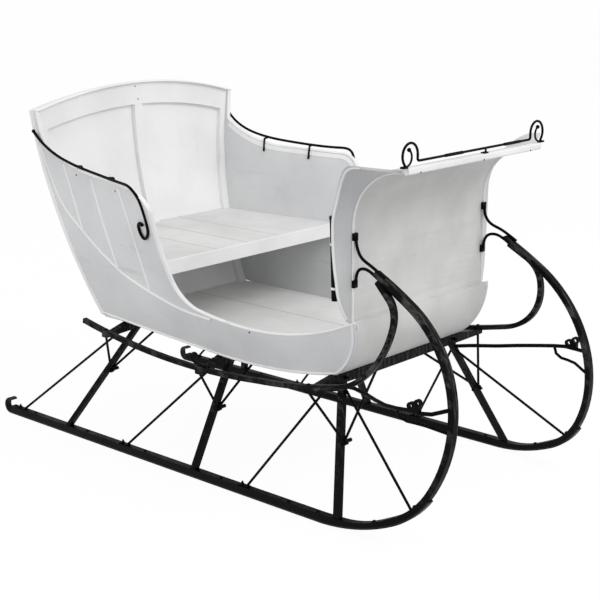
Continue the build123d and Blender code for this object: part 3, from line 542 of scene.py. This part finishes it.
# Rounded capping over the back's top rail
capping = {"width": 0.0300, "height": 0.0050, "x": -0.7555, "lowest": 1.19}
arch = arcThrough((-0.500, 1.205), (0.0, 1.272), (0.500, 1.205), 40)
backShape = shapeOf("back_panel", "back_frame")
path = []
for y, z in arch:
    point, normal, index, distance = backShape.ray_cast(Vector((capping["x"], y, 1.4)), Vector((0, 0, -1)))
    path.append(Vector((capping["x"], y, point.z if point else z)))
path = [p for p in path if p.z > capping["lowest"]]
verts, faces = [], []
sweepSection(path, Vector((0, 0, 1)), halfRound(capping["width"], capping["height"], 0.0008), verts, faces)
finishPiece("backCapping", verts, faces, trimPaint)
print("capping laid")

# Bead round the dash's front edge and rolled edges of the wings
dash = {
    "x": 0.611, "low": 0.604, "curlLow": 0.945, "curl": 0.185,
    "beadHalf": 0.3530, "beadWidth": 0.0090, "beadHeight": 0.0045,
}


def dashLine(inset=0.0, steps=20, low=None):
    # side line of the curled dash's front face, pushed back by inset
    low = low or dash["low"]
    line = [(dash["x"] - inset, low + (dash["curlLow"] - low) * k / steps) for k in range(steps)]
    radius = dash["curl"] + inset
    for k in range(steps + 1):
        angle = math.pi / 2 * k / steps
        x = dash["x"] - inset + radius - radius * math.cos(angle)
        line.append((x, dash["curlLow"] + radius * math.sin(angle)))
    return line


frontLine = dashLine()
frontOut = [-n for n in edgeNormals(frontLine)]
for side, sign in sides:
    verts, faces = [], []
    path = [Vector((x, sign * dash["beadHalf"], z)) for x, z in frontLine]
    sweepSection(path, frontOut, halfRound(dash["beadWidth"], dash["beadHeight"]), verts, faces)
    finishPiece(f"dashBead_{side}", verts, faces, trimPaint)

# free edge as (half width, height), met by rays that leave the dash along the rake
wing = {
    "rake": (-0.060, 0.138, 0.024), "half": 0.3603, "thick": 0.008, "low": 0.600, "edgeLow": 0.646,
    "edgeRadius": 0.0044, "inset": 0.0026,
}
wingEdge = arcThrough((0.368, 0.640), (0.389, 0.684), (0.406, 0.766), 14)
wingEdge += arcThrough((0.406, 0.766), (0.417, 0.870), (0.418, 0.990), 14)[1:]
wingEdge += arcThrough((0.418, 0.990), (0.434, 1.085), (0.490, 1.158), 18)[1:]


def edgeHalf(z):
    # half width of the wing's free edge at a height
    for (halfA, zA), (halfB, zB) in zip(wingEdge, wingEdge[1:]):
        if zA <= z <= zB:
            return halfA + (halfB - halfA) * (z - zA) / (zB - zA)
    return wingEdge[0][0] if z < wingEdge[0][1] else wingEdge[-1][0]


for side, sign in sides:
    path = []
    alongX, alongY, alongZ = wing["rake"]
    for x, z in dashLine(wing["thick"] / 2, 36, wing["low"]):
        # halve the span until the ray ends at the edge
        low, high = 0.0, 1.2
        for _ in range(30):
            share = (low + high) / 2
            if wing["half"] + alongY * share < edgeHalf(z + alongZ * share) - wing["inset"]:
                low = share
            else:
                high = share
        edgeZ = z + alongZ * share
        if edgeZ > wing["edgeLow"]:
            path.append(Vector((x + alongX * share, sign * (wing["half"] + alongY * share), edgeZ)))
    verts, faces = [], []
    sweepSection(path, Vector((1, 0, 0.3)), roundBar(wing["edgeRadius"]), verts, faces)
    finishPiece(f"wingEdge_{side}", verts, faces, trimPaint)
print("dash beads and wing edges laid")

# Bands and mouth of the whip socket
socket = {
    "top": (0.567, -0.394, 0.976), "low": (0.567, -0.386, 0.707), "radii": (0.0110, 0.0130),
    "bands": (0.747, 0.889), "bandHalf": 0.0042, "bandStand": 0.0012,
}
top, low = Vector(socket["top"]), Vector(socket["low"])
verts, faces = [], []
for z in socket["bands"]:
    share = (z - low.z) / (top.z - low.z)
    radius = socket["radii"][0] + (socket["radii"][1] - socket["radii"][0]) * share
    half, outer = socket["bandHalf"], radius + socket["bandStand"]
    band = [(radius, -half), (outer, -half + 0.0006), (outer, half - 0.0006), (radius, half)]
    turnedShape(low.lerp(top, share), top - low, band, verts, faces)
finishPiece("socketBands", verts, faces, trimPaint)
verts, faces = [], []
rim = socket["radii"][1]
mouth = [(rim + 0.0004, -0.010), (rim + 0.0014, -0.009), (rim + 0.0014, 0.0002)]
mouth += [(rim + 0.0004, 0.0010), (0.0099, 0.0010), (0.0096, -0.010)]
turnedShape(top, top - low, mouth, verts, faces)
finishPiece("socketMouth", verts, faces, ironPaint)

# Bolt ends and screw heads that show on the body
fixings = {
    "sideBolts": [(-0.5564, 0.9920), (-0.3062, 0.9690), (0.1968, 0.5340)],
    "sideHead": domeHead(0.0034, 0.0018),
    "backScrews": [(-0.0156, 1.2570), (-0.0017, 1.2070)],
    "backHead": domeHead(0.0028, 0.0012),
    "lipBolts": [-0.300, 0.0316, 0.300], "lipZ": 1.129, "lipHead": domeHead(0.0030, 0.0014),
}
for side, sign in sides:
    verts, faces = [], []
    for x, z in fixings["sideBolts"]:
        point, normal = onSide(x, z, side, sign)
        turnedShape(point, normal, fixings["sideHead"], verts, faces, 12)
    finishPiece(f"sideFixings_{side}", verts, faces, ironPaint)
verts, faces = [], []
for y, z in fixings["backScrews"]:
    point, normal, index, distance = backShape.ray_cast(Vector((0, y, z)), Vector((-1, 0, 0)))
    turnedShape(point, normal, fixings["backHead"], verts, faces, 12)
lipShape = shapeOf("dash_lip")
for y in fixings["lipBolts"]:
    point, normal, index, distance = lipShape.ray_cast(Vector((1.2, y, fixings["lipZ"])), Vector((-1, 0, 0)))
    if point:
        turnedShape(point, normal, fixings["lipHead"], verts, faces, 12)
finishPiece("bodyScrews", verts, faces, ironPaint)
print("body fixings set")

# Bolts, nuts and lugs of the gear
# benches: beam x, beam top, post foot x, height of the knee iron's foot; bend bolts: x, half width
gear = {
    "runnerTop": 0.030, "track": 0.475, "raveHalf": 0.450, "ironHalf": 0.300, "beamDeep": 0.033,
    "benches": [(-0.462, 0.446, -0.661, 0.251), (0.019, 0.413, 0.013, 0.229), (0.529, 0.446, 0.656, 0.243)],
    "runnerBolts": (-0.990, -0.867, -0.661, -0.560, -0.242, 0.013, 0.140, 0.450, 0.575),
    "runnerHead": domeHead(0.0062, 0.0042), "raveHead": domeHead(0.0065, 0.0045),
    "bendBolts": [(0.795, 0.461), (0.932, 0.439)], "bendHead": domeHead(0.0068, 0.0055),
    "splayFrom": 0.300, "splay": 0.0765, "toeFrom": 0.603, "toe": 0.071,
    "beamNut": (0.011, 0.006), "ironNut": (0.013, 0.006), "stayNut": (0.011, 0.0045), "stayNutZ": 0.0330,
    "stayFeet": (-0.948, -0.348, 0.253),
}
raveSag = {"x": 0.011, "top": 0.3965, "radius": 2.9}


def raveTop(x):
    # top of the side rail at x: the rail sags on a wide circle
    return raveSag["top"] + raveSag["radius"] - math.sqrt(raveSag["radius"] ** 2 - (x - raveSag["x"]) ** 2)


for side, sign in sides:
    verts, faces = [], []
    for x in gear["runnerBolts"]:
        place = (x, sign * (gear["track"] - 0.002), gear["runnerTop"])
        turnedShape(place, (0, 0, 1), gear["runnerHead"], verts, faces, 14)
    for beamX, beamZ, footX, footZ in gear["benches"]:
        raveHalf = gear["raveHalf"] + gear["splay"] * max(0, beamX - gear["splayFrom"])
        turnedShape((beamX, sign * raveHalf, raveTop(beamX)), (0, 0, 1), gear["raveHead"], verts, faces, 14)
        place = (beamX + 0.014, sign * gear["ironHalf"], beamZ - 0.016)
        hexNut(place, (1, 0, 0), *gear["beamNut"], verts, faces)
        share = (footZ - gear["runnerTop"]) / (beamZ - gear["beamDeep"] - gear["runnerTop"])
        ironX = footX + (beamX - footX) * share
        baseHalf = gear["track"] - gear["toe"] * max(0, footX - gear["toeFrom"])
        ironHalf = baseHalf + (gear["ironHalf"] - baseHalf) * share
        hexNut((ironX + 0.020, sign * ironHalf, footZ), (1, 0, 0), *gear["ironNut"], verts, faces)
    for lowX in gear["stayFeet"]:
        place = (lowX - 0.011, sign * gear["track"], gear["stayNutZ"])
        hexNut(place, (0, 0, 1), *gear["stayNut"], verts, faces)
    runnerShape = shapeOf(f"runner_{side}")
    for x, half in gear["bendBolts"]:
        above = Vector((x, sign * half, 0.3))
        point, normal, index, distance = runnerShape.ray_cast(above, Vector((0, 0, -1)))
        if point:
            turnedShape(point, normal, gear["bendHead"], verts, faces, 14)
    finishPiece(f"gearBolts_{side}", verts, faces, ironPaint)
    verts, faces = [], []
    plate = [(-0.009, -0.002), (-0.009, 0.0018), (0.009, 0.0018), (0.009, -0.002)]
    for lowX in gear["stayFeet"]:
        lug = [(lowX + 0.020, 0.4745, 0.0318), (lowX + 0.006, 0.475, 0.0312), (lowX - 0.026, 0.475, 0.0312)]
        path = [Vector((x, sign * half, z)) for x, half, z in lug]
        sweepSection(path, Vector((0, 0, 1)), plate, verts, faces)
    finishPiece(f"stayLugs_{side}", verts, faces, ironPaint, False)
print("bolts set")

# Scrolled strap on the rail behind the middle beam, with its wire spur
strap = {
    "radius": 0.0042, "half": 0.450, "spurRadius": 0.0022,
    "line": [(0.052, 0.3985), (0.026, 0.4010), (0.001, 0.4040), (-0.0150, 0.4115), (-0.0185, 0.4265),
             (-0.0085, 0.4365), (0.0040, 0.4365), (0.0115, 0.4290)],
    "knob": [(0.001, -0.0055), (0.0052, -0.003), (0.0060, 0), (0.0052, 0.003), (0.001, 0.0055)],
    "spur": [(0.058, 0.449, 0.395), (0.066, 0.447, 0.409), (0.076, 0.440, 0.435)],
}
for side, sign in sides:
    verts, faces = [], []
    line = smoothPath([(x, sign * strap["half"], z) for x, z in strap["line"]], 6)
    sweepSection(line, Vector((0, sign, 0)), roundBar(strap["radius"], 10), verts, faces)
    turnedShape(line[-1], Vector((0.6, 0, -0.8)), strap["knob"], verts, faces, 12)
    spur = smoothPath([(x, sign * half, z) for x, half, z in strap["spur"]], 4)
    sweepSection(spur, Vector((0, 1, 0)), roundBar(strap["spurRadius"], 8), verts, faces)
    finishPiece(f"railScroll_{side}", verts, faces, ironPaint)
print("rail scrolls set")

# Camera, floor and light
view = {"place": (3.278, -3.604, 1.797), "tilt": 75.5, "turn": 41.6, "lens": 83.37, "sensor": 36}
camera = bpy.data.objects.new("camera", bpy.data.cameras.new("camera"))
bpy.context.scene.collection.objects.link(camera)
camera.location = view["place"]
camera.rotation_euler = (math.radians(view["tilt"]), 0, math.radians(view["turn"]))
camera.data.sensor_width = view["sensor"]
camera.data.lens = view["lens"]
bpy.context.scene.camera = camera

studio = {
    "floorTone": "C8C8C8", "floorGlow": 0.90, "floorHalf": 60, "fill": 0.76, "white": 1.05,
    "key": 98, "keySize": 3.2, "keyPlace": (3.6, 1.2, 4.2), "keyAim": (-0.1, 0, 0.7),
    "side": 46, "sideSize": 3.6, "sidePlace": (-1.2, -4.6, 2.0), "sideAim": (-0.2, 0, 0.7),
}


def rayKinds(tree, *kinds):
    # 1 for the named kinds of ray
    paths = addNode(tree, "LightPath")
    found = paths.outputs[kinds[0]]
    for kind in kinds[1:]:
        found = larger(tree, found, paths.outputs[kind])
    return found


floorMaterial = bpy.data.materials.new("paleFloor")
floorMaterial.use_nodes = True
tree = floorMaterial.node_tree
tree.nodes.clear()
output = addNode(tree, "OutputMaterial")
seen = rayKinds(tree, "Is Camera Ray", "Is Glossy Ray", "Is Transmission Ray")
glow = addNode(tree, "Math", {"operation": "MULTIPLY", 1: studio["floorGlow"]}, {0: seen})
matt = addNode(tree, "BsdfDiffuse", {"Color": linear(studio["floorTone"])})
white = addNode(tree, "Emission", {"Color": (1, 1, 1, 1), "Strength": studio["white"]})
mixLinks = {0: glow.outputs["Value"], 1: matt.outputs["BSDF"], 2: white.outputs["Emission"]}
both = addNode(tree, "MixShader", None, mixLinks)
tree.links.new(both.outputs["Shader"], output.inputs["Surface"])
floorMesh = bpy.data.meshes.new("studioFloor")
half = studio["floorHalf"]
corners = [(-half, -half, 0), (half, -half, 0), (half, half, 0), (-half, half, 0)]
floorMesh.from_pydata(corners, [], [(0, 1, 2, 3)])
floorMesh.materials.append(floorMaterial)
studioFloor = bpy.data.objects.new("studioFloor", floorMesh)
bpy.context.scene.collection.objects.link(studioFloor)

world = bpy.data.worlds.new("studio")
bpy.context.scene.world = world
world.use_nodes = True
tree = world.node_tree
tree.nodes.clear()
output = addNode(tree, "OutputWorld")
seen = rayKinds(tree, "Is Camera Ray", "Is Transmission Ray")
strength = addNode(tree, "Mix", {"data_type": "FLOAT", 2: studio["fill"], 3: studio["white"]}, {0: seen})
sky = addNode(tree, "Background", {"Color": (1, 1, 1, 1)}, {"Strength": strength.outputs[0]})
tree.links.new(sky.outputs["Background"], output.inputs["Surface"])


def softLamp(name, place, aim, power, size):
    lamp = bpy.data.objects.new(name, bpy.data.lights.new(name, "AREA"))
    lamp.data.shape = "DISK"
    lamp.data.size = size
    lamp.data.energy = power
    lamp.location = place
    lamp.rotation_euler = (Vector(aim) - Vector(place)).to_track_quat("-Z", "Y").to_euler()
    bpy.context.scene.collection.objects.link(lamp)


softLamp("keyLamp", studio["keyPlace"], studio["keyAim"], studio["key"], studio["keySize"])
softLamp("sideLamp", studio["sidePlace"], studio["sideAim"], studio["side"], studio["sideSize"])
bpy.context.scene.view_settings.view_transform = "Standard"
print("studio lit")
